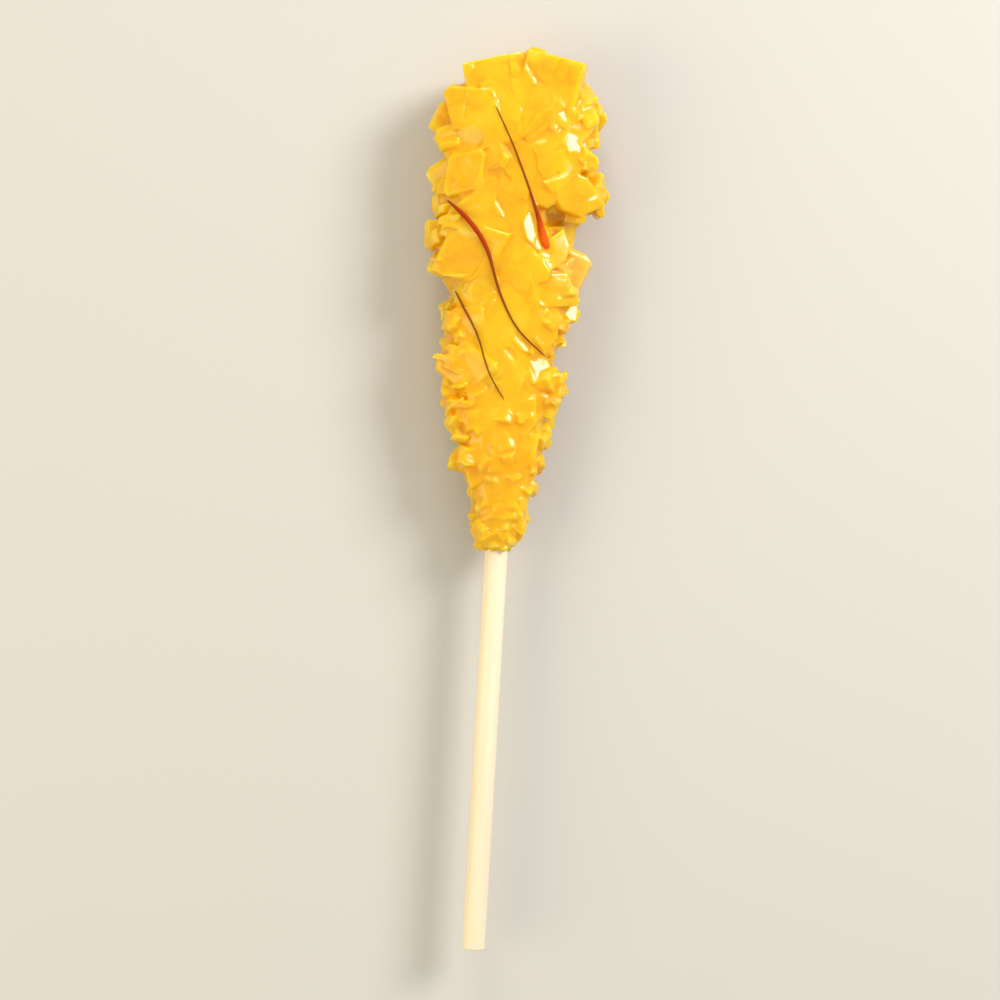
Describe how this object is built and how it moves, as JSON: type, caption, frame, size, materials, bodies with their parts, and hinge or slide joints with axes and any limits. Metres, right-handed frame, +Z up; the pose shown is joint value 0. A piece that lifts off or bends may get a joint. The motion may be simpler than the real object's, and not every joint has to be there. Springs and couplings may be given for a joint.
{
  "type": "rock candy stick",
  "caption": "Stirrer of saffron-yellow rock sugar grown on a plain round stick, lying with its shown side up.",
  "frame": {"origin": "middle of the base of the whole object's box, on the surface it lies on", "axes": "+Y along the stick from its bare end towards the candy's wide end, +Z up out of the shown face, +X to the right seen from above"},
  "size_m": [0.031, 0.15, 0.0162],
  "materials": {
    "saffron_sugar": "clear to cloudy saffron-yellow sugar crystals with glossy flat faces",
    "pale_stick": "smooth cream-white stick with a low sheen"
  },
  "bodies": {
    "root": {"candy": "saffron_sugar", "stick": "pale_stick"}
  },
  "joints": []
}
